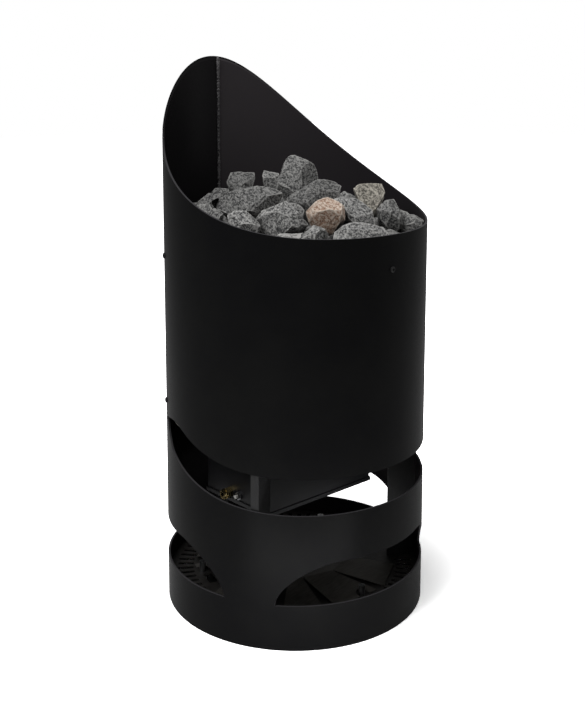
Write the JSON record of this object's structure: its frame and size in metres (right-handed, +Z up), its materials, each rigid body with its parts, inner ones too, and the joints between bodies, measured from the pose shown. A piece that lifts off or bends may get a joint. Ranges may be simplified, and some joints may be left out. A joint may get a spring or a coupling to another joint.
{
  "type": "floor-standing electric sauna heater",
  "caption": "Round floor-standing electric sauna heater: black steel casing with an obliquely cut rim, a heap of split stones on top, and a vented base with an electrical box.",
  "frame": {"origin": "on the floor, on the axis of the round casing, levelling feet raised", "axes": "+Z up; -Y is the front, where the rim is lowest; +Y the weld seam at the back"},
  "size_m": [0.4, 0.4028, 0.837],
  "materials": {
    "casing": "matt textured powder coat, black",
    "black_steel": "matt black coat",
    "frame_steel": "dark coated sheet",
    "raw_steel": "heat-tinted sheet",
    "zinc": "zinc plated, satin",
    "brass": "satin",
    "element": "heat-tinted tube",
    "ceramic": "glazed",
    "white_plastic": "satin",
    "dark_plastic": "matt",
    "seal": "matt",
    "lead": "nickel strand",
    "stone": "rough split, speckled grey",
    "stone_tan": "rough split, tan",
    "stone_light": "rough split, light grey"
  },
  "bodies": {
    "frame": {"outer_casing": "casing", "upper_casing_screws": "black_steel", "lower_casing_screws": "black_steel", "spacer_nuts": "zinc", "base_clips": "black_steel", "base_plate": "frame_steel", "heat_deflector": "raw_steel", "leg_left": "black_steel", "leg_right": "black_steel", "leg_back": "black_steel", "leg_foot_screws": "zinc", "leg_top_screws": "zinc", "foot_nuts": "zinc", "stone_grate": "raw_steel", "stone_chamber": "raw_steel", "element_front": "element", "element_middle": "element", "element_rear": "element", "element_nuts": "brass", "hanger_studs": "zinc", "hanger_nuts": "zinc", "heat_shield": "raw_steel", "box_body": "frame_steel", "box_cover": "frame_steel", "cover_screws": "zinc", "element_bushings": "ceramic", "terminal_nuts": "zinc", "element_leads": "lead", "terminal_block": "ceramic", "terminal_block_screws": "zinc", "earth_stud": "brass", "earth_nuts": "brass", "cable_gland": "brass", "gland_locknut": "brass", "gland_dome_nut": "brass", "gland_seal": "seal", "thermal_cutout": "dark_plastic", "cutout_nut": "zinc", "stone_bed_lower": "stone", "stone_bed_middle": "stone", "stone_bed_upper": "stone", "stone_cap": "stone", "stones_front": "stone", "stones_middle": "stone", "stones_back": "stone", "stone_large": "stone", "stone_tan": "stone_tan", "stone_light": "stone_light"},
    "foot_pad_front": {"foot_pad_front": "dark_plastic"},
    "foot_spindle_front": {"foot_spindle_front": "zinc"},
    "foot_pad_left": {"foot_pad_left": "dark_plastic"},
    "foot_spindle_left": {"foot_spindle_left": "zinc"},
    "foot_pad_right": {"foot_pad_right": "dark_plastic"},
    "foot_spindle_right": {"foot_spindle_right": "zinc"},
    "reset_button": {"reset_button": "white_plastic"}
  },
  "joints": [
    {"name": "foot_slide_front", "type": "slide", "parent": "frame", "child": "foot_pad_front", "axis": [0, 0, 1], "range_m": [-0.012, 0]},
    {"name": "foot_turn_front", "type": "hinge", "parent": "foot_pad_front", "child": "foot_spindle_front", "pos_m": [0, -0.1481, 0.03], "axis": [0, 0, 1], "range_deg": [-2880, 0]},
    {"name": "foot_slide_left", "type": "slide", "parent": "frame", "child": "foot_pad_left", "axis": [0, 0, 1], "range_m": [-0.012, 0]},
    {"name": "foot_turn_left", "type": "hinge", "parent": "foot_pad_left", "child": "foot_spindle_left", "pos_m": [-0.12826, 0.07405, 0.03], "axis": [0, 0, 1], "range_deg": [-2880, 0]},
    {"name": "foot_slide_right", "type": "slide", "parent": "frame", "child": "foot_pad_right", "axis": [0, 0, 1], "range_m": [-0.012, 0]},
    {"name": "foot_turn_right", "type": "hinge", "parent": "foot_pad_right", "child": "foot_spindle_right", "pos_m": [0.12826, 0.07405, 0.03], "axis": [0, 0, 1], "range_deg": [-2880, 0]},
    {"name": "reset_press", "type": "slide", "parent": "frame", "child": "reset_button", "axis": [1, 0, 0], "range_m": [0, 0.002], "stiffness_N_per_m": 400}
  ],
  "couplings": [
    {"joint": "foot_turn_front", "follows": "foot_slide_front", "rad_per_m": 4188.8},
    {"joint": "foot_turn_left", "follows": "foot_slide_left", "rad_per_m": 4188.8},
    {"joint": "foot_turn_right", "follows": "foot_slide_right", "rad_per_m": 4188.8}
  ]
}
